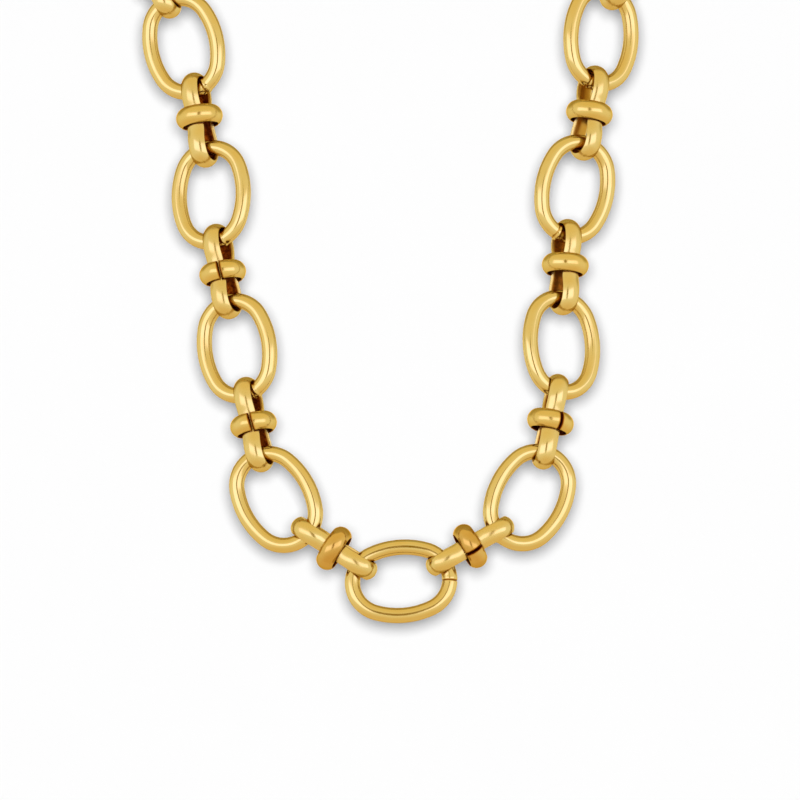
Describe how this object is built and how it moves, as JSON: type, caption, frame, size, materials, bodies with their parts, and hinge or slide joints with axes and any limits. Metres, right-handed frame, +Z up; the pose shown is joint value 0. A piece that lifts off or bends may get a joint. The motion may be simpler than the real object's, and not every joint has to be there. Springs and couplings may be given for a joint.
{
  "type": "link chain necklace",
  "caption": "Gold-tone necklace of large round-wire oval links joined by slim two-bar connectors with a ring round each waist, in its hanging form.",
  "frame": {"origin": "middle of the closing ring, which lies on the nape and holds the necklace up", "axes": "+Z up, -Y towards the viewer in front of the wearer, +X to the viewer's right; the front hangs down towards -Y"},
  "size_m": [0.1091, 0.0872, 0.1732],
  "materials": {
    "gold_oval": "polished gold plate",
    "gold_connector": "polished gold plate",
    "gold_ring": "polished gold plate, a shade deeper",
    "gold_clasp": "polished gold plate"
  },
  "bodies": {
    "root": {"oval_link_1": "gold_oval", "oval_link_2": "gold_oval", "oval_link_3": "gold_oval", "oval_link_4": "gold_oval", "oval_link_5": "gold_oval", "oval_link_6": "gold_oval", "oval_link_7": "gold_oval", "oval_link_8": "gold_oval", "oval_link_9": "gold_oval", "oval_link_10": "gold_oval", "oval_link_11": "gold_oval", "oval_link_12": "gold_oval", "oval_link_13": "gold_oval", "oval_link_14": "gold_oval", "oval_link_15": "gold_oval", "connector_loop_1": "gold_connector", "connector_loop_2": "gold_connector", "connector_loop_3": "gold_connector", "connector_loop_4": "gold_connector", "connector_loop_5": "gold_connector", "connector_loop_6": "gold_connector", "connector_loop_7": "gold_connector", "connector_loop_8": "gold_connector", "connector_loop_9": "gold_connector", "connector_loop_10": "gold_connector", "connector_loop_11": "gold_connector", "connector_loop_12": "gold_connector", "connector_loop_13": "gold_connector", "connector_loop_14": "gold_connector", "waist_ring_1": "gold_ring", "waist_ring_2": "gold_ring", "waist_ring_3": "gold_ring", "waist_ring_4": "gold_ring", "waist_ring_5": "gold_ring", "waist_ring_6": "gold_ring", "waist_ring_7": "gold_ring", "waist_ring_8": "gold_ring", "waist_ring_9": "gold_ring", "waist_ring_10": "gold_ring", "waist_ring_11": "gold_ring", "waist_ring_12": "gold_ring", "waist_ring_13": "gold_ring", "waist_ring_14": "gold_ring", "closing_ring": "gold_clasp"}
  },
  "joints": []
}
